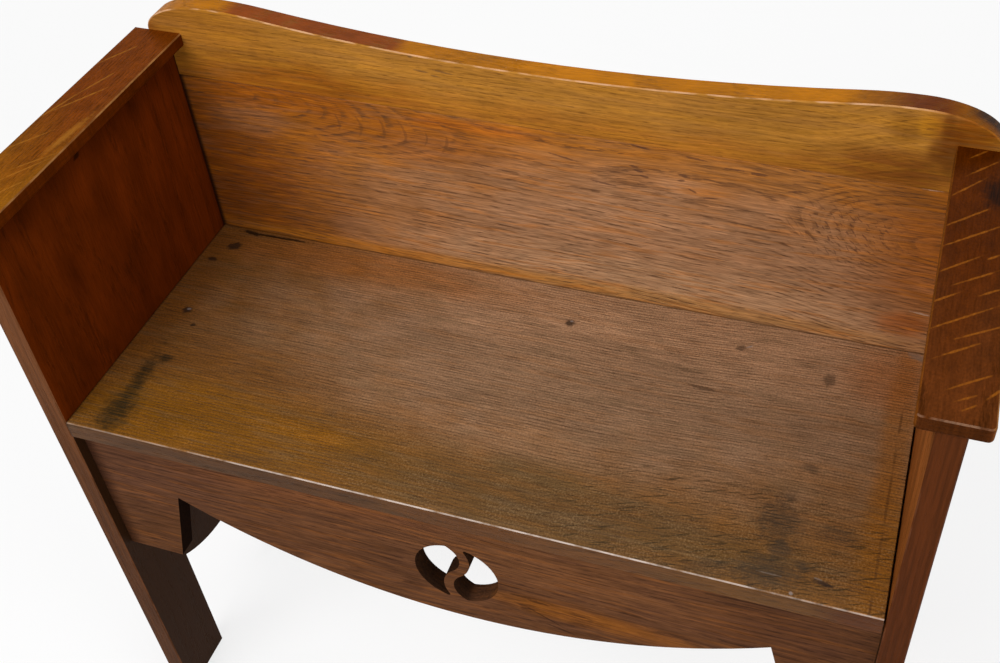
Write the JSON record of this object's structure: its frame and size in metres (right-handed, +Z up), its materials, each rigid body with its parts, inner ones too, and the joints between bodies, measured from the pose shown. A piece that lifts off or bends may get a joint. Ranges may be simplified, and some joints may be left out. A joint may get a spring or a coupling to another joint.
{
  "type": "hall settle",
  "caption": "Oak settle with slab ends, flat arms, a plank seat over a pierced and shaped apron, and a board back with a dipped crest.",
  "frame": {"origin": "middle of the settle's footprint, on the floor", "axes": "+X to the right as seen from the front, +Y towards the back, +Z up"},
  "size_m": [0.773, 0.306, 0.702],
  "materials": {
    "oak_ends": "satin",
    "oak_arms": "satin",
    "oak_seat": "satin",
    "oak_apron": "satin",
    "oak_back": "satin",
    "oak_frame": "matt",
    "dowel_wood": "matt",
    "screw_steel": "dull",
    "nail_iron": "dull"
  },
  "bodies": {
    "root": {"end_left": "oak_ends", "end_right": "oak_ends", "arm_left": "oak_arms", "arm_right": "oak_arms", "seat_board": "oak_seat", "front_apron": "oak_apron", "back_lower_board": "oak_back", "back_crest_board": "oak_back", "seat_bearer_left": "oak_frame", "seat_bearer_right": "oak_frame", "rear_seat_bearer": "oak_frame", "corner_block_left": "oak_frame", "corner_block_right": "oak_frame", "apron_glue_blocks": "oak_frame", "arm_dowels": "dowel_wood", "back_joint_tongue": "dowel_wood", "back_screws": "screw_steel", "bearer_nails": "nail_iron", "seat_screws": "screw_steel"}
  },
  "joints": []
}
